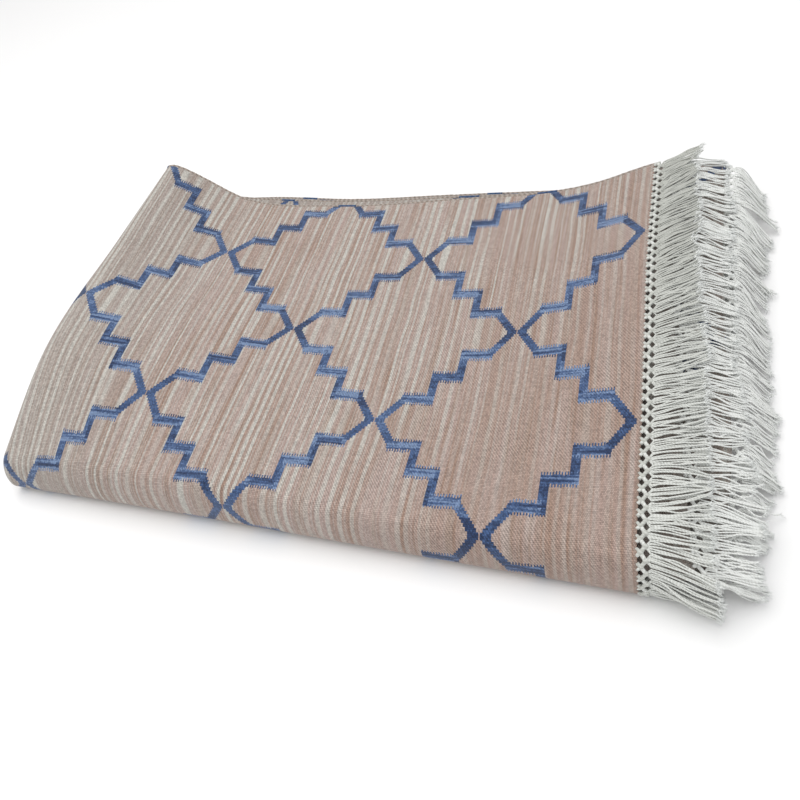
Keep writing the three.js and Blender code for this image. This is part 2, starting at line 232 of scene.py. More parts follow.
# points in the rug's own mm, quads as vertex numbers, uvs for each corner
def meshObject(name, points, quads, uvs):
    mesh = bpy.data.meshes.new(name)
    quads = np.asarray(quads, np.int32)
    mesh.vertices.add(len(points))
    mesh.vertices.foreach_set("co", toFrame(points).astype(np.float32).ravel())
    mesh.loops.add(quads.size)
    mesh.loops.foreach_set("vertex_index", quads.ravel())
    mesh.polygons.add(len(quads))
    mesh.polygons.foreach_set("loop_start", np.arange(0, quads.size, quads.shape[1], dtype=np.int32))
    mesh.polygons.foreach_set("loop_total", np.full(len(quads), quads.shape[1], np.int32))
    mesh.polygons.foreach_set("use_smooth", np.ones(len(quads), bool))
    layer = mesh.uv_layers.new(name="weave")
    layer.data.foreach_set("uv", np.asarray(uvs, np.float32).ravel())
    mesh.update(calc_edges=True)
    mesh.validate()
    thing = bpy.data.objects.new(name, mesh)
    bpy.context.scene.collection.objects.link(thing)
    return thing


# shader building: numbers in a node tree, with a node for each sum, product and comparison
class Number:
    def __init__(self, tree, socket):
        self.tree, self.socket = tree, socket

    def __add__(self, other):
        return maths(self.tree, "ADD", self, other)

    def __sub__(self, other):
        return maths(self.tree, "SUBTRACT", self, other)

    def __rsub__(self, other):
        return maths(self.tree, "SUBTRACT", other, self)

    def __mul__(self, other):
        return maths(self.tree, "MULTIPLY", self, other)

    def __truediv__(self, other):
        return maths(self.tree, "DIVIDE", self, other)

    def __gt__(self, other):
        return maths(self.tree, "GREATER_THAN", self, other)

    def __abs__(self):
        return maths(self.tree, "ABSOLUTE", self)


def feed(tree, socket, value):
    if isinstance(value, Number):
        tree.links.new(value.socket, socket)
    elif isinstance(value, bpy.types.NodeSocket):
        tree.links.new(value, socket)
    elif isinstance(value, tuple):
        socket.default_value = (*value, 1.0)
    else:
        socket.default_value = value


def maths(tree, operation, *values):
    node = tree.nodes.new("ShaderNodeMath")
    node.operation = operation
    for socket, value in zip(node.inputs, values):
        feed(tree, socket, value)
    return Number(tree, node.outputs[0])


def wholePart(value):
    return maths(value.tree, "FLOOR", value)


def backAndForth(value, reach):
    return maths(value.tree, "PINGPONG", value, reach)


def larger(first, second):
    return maths(first.tree, "MAXIMUM", first, second)


def smaller(first, second):
    return maths(first.tree, "MINIMUM", first, second)


def held(value):
    value.socket.node.use_clamp = True
    return value


def blendNumber(amount, first, second):
    node = amount.tree.nodes.new("ShaderNodeMix")
    for number, value in ((0, amount), (2, first), (3, second)):
        feed(amount.tree, node.inputs[number], value)
    return Number(amount.tree, node.outputs[0])


def blendColour(tree, amount, first, second, way="MIX"):
    node = tree.nodes.new("ShaderNodeMix")
    node.data_type = "RGBA"
    node.blend_type = way
    for number, value in ((0, amount), (6, first), (7, second)):
        feed(tree, node.inputs[number], value)
    return node.outputs[2]


def ramp(value, low, high, toLow=0.0, toHigh=1.0):
    node = value.tree.nodes.new("ShaderNodeMapRange")
    node.interpolation_type = "SMOOTHSTEP"
    for name, number in (("Value", value), ("From Min", low), ("From Max", high),
                         ("To Min", toLow), ("To Max", toHigh)):
        feed(value.tree, node.inputs[name], number)
    return Number(value.tree, node.outputs[0])


def joinNumbers(*numbers):
    tree = numbers[0].tree
    node = tree.nodes.new("ShaderNodeCombineXYZ")
    for socket, value in zip(node.inputs, numbers):
        feed(tree, socket, value)
    return node.outputs[0]


def splitPlace(tree, place):
    node = tree.nodes.new("ShaderNodeSeparateXYZ")
    feed(tree, node.inputs[0], place)
    return Number(tree, node.outputs[0]), Number(tree, node.outputs[1])


def noise(tree, place, detail, scale=1.0):
    node = tree.nodes.new("ShaderNodeTexNoise")
    for name, value in (("Vector", place), ("Scale", scale), ("Detail", detail)):
        feed(tree, node.inputs[name], value)
    return Number(tree, node.outputs[0])


def whiteNoise(*numbers):
    tree = numbers[0].tree
    node = tree.nodes.new("ShaderNodeTexWhiteNoise")
    node.noise_dimensions = "3D"
    feed(tree, node.inputs["Vector"], joinNumbers(*numbers))
    return Number(tree, node.outputs["Value"])


# takes: (name, value), with None for a place; gives: names of numbers
def newGroup(name, takes, gives):
    group = bpy.data.node_groups.new(name, "ShaderNodeTree")
    for label, value in takes:
        kind = "NodeSocketVector" if value is None else "NodeSocketFloat"
        socket = group.interface.new_socket(label, in_out="INPUT", socket_type=kind)
        if value is not None:
            socket.default_value = value
    for label in gives:
        group.interface.new_socket(label, in_out="OUTPUT", socket_type="NodeSocketFloat")
    given = group.nodes.new("NodeGroupInput")
    return group, [Number(group, given.outputs[k]) for k in range(len(takes))]


def finishGroup(group, **values):
    result = group.nodes.new("NodeGroupOutput")
    for name, value in values.items():
        feed(group, result.inputs[name], value)
    return group


# puts a group in a tree, feeds it and gives its results by name
def placeGroup(tree, group, **values):
    node = tree.nodes.new("ShaderNodeGroup")
    node.node_tree = group
    for name, value in values.items():
        feed(tree, node.inputs[name], value)
    return {output.name: Number(tree, output) for output in node.outputs}


def newMaterial(name):
    material = bpy.data.materials.new(name)
    material.use_nodes = True
    tree = material.node_tree
    shader = next(n for n in tree.nodes if n.type == "BSDF_PRINCIPLED")
    return material, tree, shader


# the values that a material gives to its shader, and the bump that goes with them
def dress(tree, shader, colour, height, look, bump):
    node = tree.nodes.new("ShaderNodeBump")
    for target, name, value in (
        (node, "Strength", bump), (node, "Distance", look["bumpDepth"]), (node, "Height", height),
        (shader, "Normal", node.outputs[0]), (shader, "Base Color", colour),
        (shader, "Roughness", look["roughness"]), (shader, "Sheen Weight", look["sheen"]),
        (shader, "Sheen Roughness", look["sheenRoughness"]),
        (shader, "Specular IOR Level", look["specular"]),
    ):
        feed(tree, target.inputs[name], value)


def weavePlace(tree):
    node = tree.nodes.new("ShaderNodeUVMap")
    node.uv_map = "weave"
    return node.outputs[0]


# stepped diamonds: crossings lie where the two half repeat counts add up to an even number
trellis = dict(               # in half repeats
    firstStep=0.2, secondStep=0.4, stepRise=0.25, barHalf=0.054, legHalf=0.034,
    slantHalf=0.040, tipGap=0.005, slantTread=0.0265, slantStart=0.35, slantPast=0.6, edgeSoft=0.0020,
    toothRate=48.0, toothDepth=0.028, unevenAlong=31.0, unevenAcross=4.0, unevenDepth=0.030,
    lotsAlong=5.0, lotsAcross=4.0, lobe=(0.58, 0.62),
)


def trellisGroup():
    group, (place,) = newGroup("trellisPattern", [("Place", None)], ("Line", "Tone", "Cell", "Lobe", "Bar"))
    form = trellis
    along, across = splitPlace(group, place)

    def strip(value, middle, half):
        return abs(value - middle) - half

    # picks reach a little over each bar's edge, one in, one out
    tooth = maths(group, "FRACT", along * form["toothRate"]) > 0.5
    unevenPlace = joinNumbers(along * form["unevenAlong"], across * form["unevenAcross"])
    uneven = noise(group, unevenPlace, 0.0) - 0.5
    reach = tooth * form["toothDepth"] + uneven * form["unevenDepth"]
    # places in the quarter of a diamond that all the others mirror
    a, b = backAndForth(along, 1.0), backAndForth(across, 1.0)
    upper = b > 0.5
    a, b = blendNumber(upper, a, 1.0 - a), blendNumber(upper, b, 1.0 - b)
    run = (form["secondStep"] - form["firstStep"]) / 2
    rise, legHalf = form["stepRise"], form["legHalf"]
    barHalf = reach + (form["barHalf"] - form["toothDepth"] / 2)
    lowBar = larger(strip(b, rise, barHalf), strip(a, form["firstStep"] + run, run + legHalf))
    leg = larger(strip(a, form["secondStep"], legHalf), strip(b, 1.5 * rise, 0.5 * rise + form["barHalf"]))
    midBar = larger(strip(b, 0.5, barHalf), strip(a, 0.5, 0.5 - form["secondStep"] + legHalf))
    start = form["tipGap"] + form["slantHalf"] - form["slantStart"] * form["slantTread"]
    slope = (form["firstStep"] - start) / rise
    tread = (wholePart(b / form["slantTread"]) + 0.5) * form["slantTread"]
    slant = larger(strip(a, tread * slope + start, form["slantHalf"]),
                   b - (rise + form["barHalf"] * form["slantPast"]))
    nearest = smaller(smaller(lowBar, leg), smaller(midBar, slant))
    line = ramp(nearest, -form["edgeSoft"], form["edgeSoft"], 1.0, 0.0)
    bar = ramp(smaller(lowBar, midBar), -form["edgeSoft"], form["edgeSoft"], 1.0, 0.0)
    # each bar and leg was woven from its own length of dyed yarn
    tone = whiteNoise(wholePart(along * form["lotsAlong"]),
                      maths(group, "ROUND", across * form["lotsAcross"]), 3.0)
    # which diamond a place is in
    edge = blendNumber(b > rise, b * slope + start, form["secondStep"])
    side = abs((a > edge) - upper)

    def even(value):
        return maths(group, "ROUND", value * 0.5) * 2.0

    def odd(value):
        return wholePart(value * 0.5) * 2.0 + 1.0

    middleAlong = blendNumber(side, even(along), odd(along))
    cell = whiteNoise(middleAlong, blendNumber(side, odd(across), even(across)), 7.0)
    # the narrow side lobes of a diamond
    lobe = ramp(abs(along - middleAlong), *form["lobe"])
    return finishGroup(group, Line=line, Tone=tone, Cell=cell, Lobe=lobe, Bar=bar)


weaveForm = dict(wanderScale=5.0, wander=0.035, grainAlong=0.9, grainAcross=0.25, grain=0.5)


# warp ribs crossed by packed weft: a height, and a shade for the hollows
def flatWeaveGroup():
    group, (place, ribs, picks, stagger) = newGroup(
        "flatWeave", [("Place", None), ("Ribs", 50.0), ("Picks", 70.0), ("Stagger", 0.5)],
        ("Height", "Shade", "Speck"))
    form = weaveForm
    along, across = splitPlace(group, place)
    wander = noise(group, place, 3.0, form["wanderScale"]) * form["wander"]
    ribAt, pickAt = (across + wander) * ribs, (along + wander) * picks
    shifted = pickAt + wholePart(ribAt) * stagger
    height = backAndForth(ribAt, 0.5) + backAndForth(shifted, 0.5)
    speck = whiteNoise(wholePart(shifted), wholePart(ribAt), 2.0)
    grain = noise(group, joinNumbers(pickAt * form["grainAlong"], ribAt * form["grainAcross"]), 2.0)
    return finishGroup(group, Height=height, Shade=height + grain * form["grain"], Speck=speck)


weftForm = dict(
    wobbleAlong=2.0, wobbleAcross=1.6, wobble=0.5, seedSpread=91.0, firstMiddle=0.29, middleSpan=0.42,
    leastWide=0.55, moreWide=0.9, leastStrong=0.4, moreStrong=1.1, fadeLots=7.3,
    fade=(0.26, 0.42, 0.35, 1.0),
)


# lengths of paler weft, laid in at uneven spaces and fading along the weft
def paleWeftsGroup():
    group, (along, across, seed, rate, width) = newGroup(
        "paleWefts", [("Along", 0.0), ("Across", 0.0), ("Seed", 0.0), ("Rate", 14.0), ("Width", 0.15)],
        ("Amount",))
    form = weftForm
    wobblePlace = joinNumbers(along * form["wobbleAlong"], across * form["wobbleAcross"], seed)
    at = along * rate + (noise(group, wobblePlace, 1.0) - 0.5) * form["wobble"]
    lot = wholePart(at)
    seedAt = seed * form["seedSpread"]
    # each lot has its own middle, width and strength
    first, second, third = (whiteNoise(lot, seedAt, number) for number in (1.0, 2.0, 5.0))
    middle = first * form["middleSpan"] + form["firstMiddle"]
    wide = width * (second * form["moreWide"] + form["leastWide"])
    body = ramp(held(1.0 - abs(maths(group, "FRACT", at) - middle) / wide), 0.0, 0.5)
    strength = held(third * form["moreStrong"] + form["leastStrong"])
    fade = ramp(noise(group, joinNumbers(lot * form["fadeLots"], across, seedAt), 1.0), *form["fade"])
    return finishGroup(group, Amount=body * strength * fade)


yarnLook = dict(
    fibreRound=3.0, fibreAlong=0.12, plyShare=0.6, fibreShare=0.5,
    roughness=0.9, sheen=0.3, sheenRoughness=0.5, specular=0.2, bumpDepth=0.0006,
)


# plies of a twisted yarn or a wrapped cord: the place is round it and along it in mm
def twistGroup():
    group, (place, plies, turns) = newGroup(
        "twistedPlies", [("Place", None), ("Plies", 2.0), ("Turns", 0.25)], ("Height", "Fibre"))
    around, along = splitPlace(group, place)
    phase = around * plies + along * turns
    fibre = noise(group, joinNumbers(phase * yarnLook["fibreRound"], along * yarnLook["fibreAlong"]), 2.0)
    return finishGroup(group, Height=backAndForth(phase, 0.5) * 2.0, Fibre=fibre)


trellisPattern = trellisGroup()
flatWeave = flatWeaveGroup()
paleWefts = paleWeftsGroup()
twistedPlies = twistGroup()

woolLook = dict(
    ground=(0.345, 0.245, 0.203), groundWarm=(0.286, 0.185, 0.137), groundPink=(0.388, 0.291, 0.258),
    streak=(0.490, 0.470, 0.430), greyBeige=(0.315, 0.283, 0.256),
    darkBlue=(0.015, 0.033, 0.092), blue=(0.047, 0.091, 0.205), lightBlue=(0.155, 0.225, 0.37),
    roughness=0.92, bump=0.5, bumpDepth=0.0010, sheen=0.2, sheenRoughness=0.6, specular=0.2,
    streakRate=11.5, streakSpread=4.0, streakWidth=0.235, lobeRate=7.0,
    thinRate=34.0, thinWidth=0.3, thinShare=0.4, thinSeed=3.0,
    ribs=74.0, picks=84.0, stagger=0.5, hatchRate=44.0, hatchLean=0.72, hatchMean=0.25,
    yarnAlong=2.0, yarnAcross=46.0, yarnMean=0.37, lotSwing=0.6, barSwing=1.8, yarnSwing=0.5,
    # the layer under the first fringe is darkened by a share of its colour, as painted shade
    speckInDye=0.3, speckInShade=0.36, wornRate=1.4, wornSeed=4.0, paintedShadeUnderFringe=0.3, sideSlant=0.5,
    # slow changes: rates along, from one diamond to the next, and across
    patchRates=(2.0, 40.0, 0.9), bundleRates=(9.0, 60.0, 0.5), warmRates=(21.0, 20.0, 0.8),
    # ramps: from where, to where, and the amounts at the two
    patch=(0.30, 0.46, 0.7, 1.0), streakSide=(2.6, 4.4, 1.0, 0.35), bundle=(0.36, 0.62),
    # towards the first end the ground turns darker and browner: partly a warmer ground, partly painted
    # shade
    warm=(0.50, 0.70, 0.0, 0.8), greyerSide=(0.4, -0.9, 0.0, 0.6), warmAndShadedSide=(2.2, 3.9, 0.0, 0.18),
    hiddenAlong=(-6.55, -6.75), hiddenAcross=(4.0, 3.7), plainEnd=(3.995, 4.0, 1.0, 0.0),
    hollows=(0.25, 1.1, 0.64, 1.15), worn=(0.35, 0.6), wornSide=(1.0, 4.0, 0.3, 1.1),
)


def woolMaterial():
    look = woolLook
    material, tree, shader = newMaterial("kilimWool")
    place = weavePlace(tree)
    along, across = splitPlace(tree, place)
    figure = placeGroup(tree, trellisPattern, Place=place)
    weave = placeGroup(tree, flatWeave, Place=place, Ribs=look["ribs"], Picks=look["picks"],
                       Stagger=look["stagger"])
    cell, tone = figure["Cell"], figure["Tone"]
    speck = weave["Speck"] - 0.5
    slanting = along + across * look["sideSlant"]

    def wefts(seed, rate, width):
        group = placeGroup(tree, paleWefts, Along=along, Across=across, Seed=seed, Rate=rate, Width=width)
        return group["Amount"]

    def slowly(rates, detail):
        return noise(tree, joinNumbers(along * rates[0], cell * rates[1], across * rates[2]), detail)

    # cream wefts left by uneven dyeing, wider in the side lobes
    rate = blendNumber(figure["Lobe"], cell * look["streakSpread"] + look["streakRate"], look["lobeRate"])
    thin = wefts(cell + look["thinSeed"], look["thinRate"], look["thinWidth"])
    strength = larger(wefts(cell, rate, look["streakWidth"]), thin * look["thinShare"])
    strength = strength * ramp(slowly(look["patchRates"], 1.0), *look["patch"])
    strength = strength * ramp(slanting, *look["streakSide"])
    # slow changes of the ground from one bundle of wefts to the next, and towards its sides: greyer towards
    # the left fold, and darker and browner towards the first end, which is partly a warmer ground and
    # partly painted shade
    ground = look["groundPink"]
    for amount, colour in (
        (ramp(slowly(look["bundleRates"], 2.0), *look["bundle"]), "ground"),
        (ramp(slowly(look["warmRates"], 2.0), *look["warm"]), "groundWarm"),
        # greyer towards the left fold; darker and browner towards the first end, partly painted shade
        (ramp(along, *look["greyerSide"]), "greyBeige"), (ramp(along, *look["warmAndShadedSide"]), "groundWarm"),
        (strength, "streak"),
    ):
        ground = blendColour(tree, amount, ground, look[colour])
    # blue lines, each length of them with its own depth of dye and dark and pale yarns along it
    yarn = noise(tree, joinNumbers(along * look["yarnAlong"], across * look["yarnAcross"], tone), 0.0)
    dyeSwing = figure["Bar"] * look["barSwing"] + look["yarnSwing"]
    dye = tone * look["lotSwing"] + (yarn - look["yarnMean"]) * dyeSwing
    dye = held(dye + speck * look["speckInDye"])
    blue = blendColour(tree, ramp(dye, 0.0, 0.5), look["darkBlue"], look["blue"])
    blue = blendColour(tree, ramp(dye, 0.5, 1.0), blue, look["lightBlue"])
    # the layer under the first fringe is darkened further on as painted shade, and shows no pattern; each
    # end of the rug is plain
    hidden = ramp(along, *look["hiddenAlong"]) * ramp(across, *look["hiddenAcross"])
    patterned = ramp(along, *look["plainEnd"]) * (1.0 - hidden)
    colour = blendColour(tree, figure["Line"] * patterned, ground, blue)
    # the slant in which neighbouring picks step from rib to rib, worn away in places
    hatch = backAndForth((along - across * look["hatchLean"]) * look["hatchRate"], 0.5) - look["hatchMean"]
    wornPlace = joinNumbers(along * look["wornRate"], across * look["wornRate"], look["wornSeed"])
    worn = ramp(noise(tree, wornPlace, 2.0), *look["worn"]) * ramp(slanting, *look["wornSide"])
    shade = ramp(weave["Shade"], *look["hollows"]) + speck * look["speckInShade"] + hatch * worn
    # painted shade: the layer under the first fringe is darkened
    shade = shade * (1.0 - hidden * look["paintedShadeUnderFringe"])
    colour = blendColour(tree, 1.0, colour, joinNumbers(shade, shade, shade), "MULTIPLY")
    dress(tree, shader, colour, weave["Height"], look, look["bump"])
    return material


def twistedMaterial(name, pale, dark, plies, turns, bump, grey=None):
    material, tree, shader = newMaterial(name)
    place = weavePlace(tree)
    twist = placeGroup(tree, twistedPlies, Place=place, Plies=plies, Turns=turns)
    # the colour runs from dark in the grooves between plies to pale on their crowns, with fibre noise:
    # partly painted shade
    amount = held(twist["Height"] * yarnLook["plyShare"] + twist["Fibre"] * yarnLook["fibreShare"])
    colour = blendColour(tree, amount, dark, pale)
    if grey is not None:
        # lengths run on from the far selvage: the first yarns are painted greyer, as painted shade
        length = splitPlace(tree, place)[1]
        far = ramp(length, grey["start"], grey["stop"], 1.0, 0.0)
        colour = blendColour(tree, far, colour, grey["colour"], "MULTIPLY")
    dress(tree, shader, colour, twist["Height"], yarnLook, bump)
    return material


kilimWool = woolMaterial()
wrapped = dict(plies=1.0, turns=0.13, bump=0.6)
twisted = dict(plies=2.0, turns=0.30, bump=0.5)
# painted shade: greys the first fringe's yarns, most near the far selvage
farSelvageShade = dict(start=3000.0, stop=11000.0, colour=(0.76, 0.76, 0.74))
selvageWool = twistedMaterial("selvageWool", (0.47, 0.405, 0.355), (0.13, 0.10, 0.08), **wrapped)
blueSelvage = twistedMaterial("blueSelvage", (0.060, 0.115, 0.235), (0.014, 0.032, 0.080), **wrapped)
# one cotton in two brightnesses: the first fringe's copy is darker, as painted shade
fringeCotton = twistedMaterial("fringeCotton", (0.91, 0.93, 0.92), (0.66, 0.665, 0.625), **twisted)
shadedFirstCotton = twistedMaterial("shadedFirstCotton", (0.80, 0.82, 0.80), (0.52, 0.525, 0.475), **twisted,
                                grey=farSelvageShade)
cutCotton = twistedMaterial("cutCotton", (0.90, 0.92, 0.91), (0.72, 0.74, 0.71), plies=2.0, turns=0.15,
                            bump=0.3)
print("materials made")

# cloth: steps of its grid along and across, and the even net on which lengths are measured
clothSteps = dict(top=150, roundLeft=30, under=64, upper=104, roundNear=26, lower=52)
arcNet = dict(length=960, width=700, columns=481, rows=351)


def gridNormals(middle):
    along = np.gradient(middle, axis=0)
    across = np.gradient(middle, axis=1)
    return unit(np.cross(along, across))


# lengths measured over the top layer, along and across
def topArcs():
    xs = np.linspace(0, arcNet["length"], arcNet["columns"])
    ys = np.linspace(0, arcNet["width"], arcNet["rows"])
    z = topHeight(xs[:, None], ys[None, :])
    dx, dy = xs[1] - xs[0], ys[1] - ys[0]
    alongArc = np.zeros_like(z)
    alongArc[1:] = np.cumsum(np.hypot(dx, np.diff(z, axis=0)), axis=0)
    acrossArc = np.zeros_like(z)
    acrossArc[:, 1:] = np.cumsum(np.hypot(dy, np.diff(z, axis=1)), axis=1)
    return xs, ys, alongArc, acrossArc


def readNet(xs, ys, net, x, y):
    insideLast = 1.001        # columns or rows before the end, so that a next one is left
    fx = np.clip((x - xs[0]) / (xs[1] - xs[0]), 0, len(xs) - insideLast)
    fy = np.clip((y - ys[0]) / (ys[1] - ys[0]), 0, len(ys) - insideLast)
    i, j = fx.astype(int), fy.astype(int)
    u, v = fx - i, fy - j
    return ((net[i, j] * (1 - u) + net[i + 1, j] * u) * (1 - v)
            + (net[i, j + 1] * (1 - u) + net[i + 1, j + 1] * u) * v)


# where each grid point lies in the woven pattern, in half repeats along and across
def patternPlaces(middle, leftTurn, nearTurn):
    xs, ys, alongArc, acrossArc = topArcs()
    x, y = middle[..., 0], middle[..., 1]
    endX = tableValue(endReach, "top", y)
    edgeY = tableValue(selvageReach, "top", x)
    toEnd = readNet(xs, ys, alongArc, endX, y) - readNet(xs, ys, alongArc, x, y)
    toEdge = readNet(xs, ys, acrossArc, x, edgeY) - readNet(xs, ys, acrossArc, x, y)
    along = pattern["firstEnd"] - toEnd / pattern["along"]
    across = pattern["selvage"] + toEdge / pattern["across"]
    # columns and rows from here go round the folds and under
    firstBead = int(np.argmax(leftTurn < quarter - tiny))
    firstRound = int(np.argmax(nearTurn < quarter - tiny))
    stepAlong = np.hypot(np.diff(x, axis=0), np.diff(middle[..., 2], axis=0)) / pattern["along"]
    stepAcross = np.hypot(np.diff(y, axis=1), np.diff(middle[..., 2], axis=1)) / pattern["across"]
    for c in range(firstBead, len(leftTurn)):
        along[c] = along[c - 1] - stepAlong[c - 1]
        if leftTurn[c] > -quarter + tiny:
            across[c] = across[c - 1]
    for r in range(firstRound, len(nearTurn)):
        across[:, r] = across[:, r - 1] + stepAcross[:, r - 1]
        along[:, r] = along[:, firstRound - 1]
    # the second layer's selvage is the same line of the pattern as the top one's
    level = np.cumsum(np.append(0, stepAcross[firstBead:].mean(axis=0)))
    level = np.clip(1 - level / level[firstRound - 1], 0, 1)
    across[firstBead:] += (pattern["selvage"] - across[firstBead:, :1]) * level[None, :]
    apex = int(np.argmin(np.abs(leftTurn)))
    fold = along[apex][None, :]
    under = along[apex:]
    passed = np.clip((fold - under) / pattern["slack"], 0, 1)
    along[apex:] = under + (pattern["secondEnd"] - along[-1])[None, :] * passed * passed * (3 - 2 * passed)
    crease = int(np.argmin(np.abs(nearTurn)))
    fold = across[:, crease][:, None]
    lower = across[:, crease:]
    last = across[:, -1][:, None]
    across[:, crease:] = fold + (lower - fold) * (pattern["otherSelvage"] - fold) / (last - fold)
    return along, across


def buildCloth():
    s = clothSteps
    leftTurn, alongRun = stations(s["top"], s["roundLeft"], s["under"])
    nearTurn, acrossRun = stations(s["upper"], s["roundNear"], s["lower"])
    middle = clothPoints(leftTurn[:, None], alongRun[:, None], nearTurn[None, :], acrossRun[None, :])
    along, across = patternPlaces(middle, leftTurn, nearTurn)
    # the layer on the floor lies level, with its normal the way that the grid gives it
    normal = gridNormals(middle)
    resting = (leftTurn[:, None] > quarter - tiny) & (nearTurn[None, :] < -quarter + tiny)
    normal[resting] = (0, 0, -1) if normal[0, -1, 2] < 0 else (0, 0, 1)
    half = pile["thickness"] / 2
    columns, rows = middle.shape[:2]
    points = np.concatenate([(middle + normal * half).reshape(-1, 3),
                             (middle - normal * half).reshape(-1, 3)])
    number = np.arange(columns * rows).reshape(columns, rows)
    a, b = number[:-1, :-1], number[1:, :-1]
    c, d = number[1:, 1:], number[:-1, 1:]
    outside = np.stack([a, b, c, d], -1).reshape(-1, 4)
    under = columns * rows
    inside = np.stack([a, d, c, b], -1).reshape(-1, 4) + under
    rims = []
    for line, turned in ((number[:, 0], False), (number[:, -1], True),
                         (number[0, :], True), (number[-1, :], False)):
        p, q = line[:-1], line[1:]
        rim = np.stack([p, p + under, q + under, q], -1)
        rims.append(rim[:, ::-1] if turned else rim)
    quads = np.concatenate([outside, inside, *rims])
    places = np.stack([along.ravel(), across.ravel()], -1)
    uvs = np.concatenate([places, places])[quads.ravel()]
    # the faces of the top layer look up
    if normal[0, 0, 2] < 0:
        quads = quads[:, ::-1]
        uvs = uvs.reshape(-1, 4, 2)[:, ::-1].reshape(-1, 2)
    cloth = meshObject("foldedCloth", points, quads, uvs)
    cloth.data.materials.append(kilimWool)
    return cloth


foldedCloth = buildCloth()
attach(foldedCloth, "root")
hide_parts("kilim_cloth")
print("cloth made")


# tubes for cords and yarns: the radius that an end narrows to in mm, how upright a tube is when
# its rings are laid out from another axis, and the length in mm between one tube's twist and the next
tubeForm = dict(closedEnd=0.04, upright=0.95, twistApart=37.7, shortest=1e-9)


# paths: yarns x stations x 3 in mm; radii: yarns x stations; both ends are closed
def tubes(paths, radii, sides):
    def safeUnit(vectors):
        return vectors / np.maximum(np.linalg.norm(vectors, axis=-1, keepdims=True), tubeForm["shortest"])

    tangent = safeUnit(np.gradient(paths, axis=1))
    paths, tangent, radii = (np.concatenate([v[:, :1], v, v[:, -1:]], axis=1)
                             for v in (paths, tangent, radii))
    radii[:, 0] = radii[:, -1] = tubeForm["closedEnd"]
    count, steps = paths.shape[:2]
    helper = np.zeros_like(tangent)
    helper[..., 2] = 1.0
    helper[np.abs(tangent[..., 2]) > tubeForm["upright"]] = (0.0, 1.0, 0.0)
    side = safeUnit(np.cross(tangent, helper))
    over = np.cross(side, tangent)
    turn = np.arange(sides) * 2 * math.pi / sides
    ring = (side[:, :, None] * np.cos(turn)[None, None, :, None]
            + over[:, :, None] * np.sin(turn)[None, None, :, None])
    points = paths[:, :, None] + ring * radii[:, :, None, None]
    number = np.arange(count * steps * sides).reshape(count, steps, sides)
    nextSide = np.roll(number, -1, axis=2)
    quads = np.stack([number[:, :-1], nextSide[:, :-1], nextSide[:, 1:], number[:, 1:]], -1)
    length = np.zeros((count, steps))
    length[:, 1:] = np.cumsum(np.linalg.norm(np.diff(paths, axis=1), axis=-1), axis=1)
    length += (np.arange(count) * tubeForm["twistApart"])[:, None]
    lower, higher = length[:, :-1], length[:, 1:]
    around = np.arange(sides) / sides
    shape = (count, steps - 1, sides)
    u0 = np.broadcast_to(around, shape)
    v0 = np.broadcast_to(lower[:, :, None], shape)
    v1 = np.broadcast_to(higher[:, :, None], shape)
    uvs = np.stack([u0, v0, u0 + 1 / sides, v0, u0 + 1 / sides, v1, u0, v1], -1).reshape(-1, 2)
    return points.reshape(-1, 3), quads.reshape(-1, 4), uvs


# joins several batches of tubes into one piece
def tubePiece(name, batches, material):
    allPoints, allQuads, allUvs, offset = [], [], [], 0
    for paths, radii, sides in batches:
        points, quads, uvs = tubes(paths, radii, sides)
        allPoints.append(points)
        allQuads.append(quads + offset)
        allUvs.append(uvs)
        offset += len(points)
    piece = meshObject(name, *(np.concatenate(part) for part in (allPoints, allQuads, allUvs)))
    piece.data.materials.append(material)
    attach(piece, "root")
    return piece


# selvages
selvage = dict(radius=2.5, sides=8, spacing=3.0, spread=0.05, lowest=0.1, wrapOver=0.3, overlap=3,
               stations=(180, 40, 140))
# where the tips of the diamonds reach the selvages: mm from the left fold, on each layer
blueWraps = dict(top=((-5, 14), (291, 324), (611, 645)), second=((172, 198), (482, 516)),
                 floor=((150, 180), (466, 496)), third=((198, 228), (519, 547)))


def evenly(line, spacing):
    length = lengthsAlong(line)
    at = np.linspace(0, length[-1], int(length[-1] / spacing))
    return np.stack([np.interp(at, length, line[:, k]) for k in range(3)], -1)


def buildSelvages():
    leftTurn, alongRun = stations(*selvage["stations"])
    radius, wrapRadius = selvage["radius"], selvage["radius"] + selvage["wrapOver"]
    cords, wraps = [], []
    for nearTurn, layers in ((quarter, ("top", "second")), (-quarter, ("floor", "third"))):
        line = clothPoints(leftTurn, alongRun, np.array(nearTurn), np.array(1.0))
        path = evenly(line, selvage["spacing"])
        path[:, 2] = np.maximum(path[:, 2], radius + selvage["lowest"])
        radii = radius * (1 + selvage["spread"] * rng.standard_normal(len(path)))
        cords.append((path[None], radii[None], selvage["sides"]))
        turnAt = int(np.argmin(path[:, 0]))
        for layer, part in zip(layers, (path[:turnAt + selvage["overlap"]][::-1], path[turnAt:])):
            for start, stop in blueWraps[layer]:
                wrap = part[(part[:, 0] > start) & (part[:, 0] < stop)]
                wraps.append((wrap[None], np.full((1, len(wrap)), wrapRadius), selvage["sides"]))
    return tubePiece("selvageCords", cords, selvageWool), tubePiece("selvageWraps", wraps, blueSelvage)


selvageCords, selvageWraps = buildSelvages()
print("selvages made")

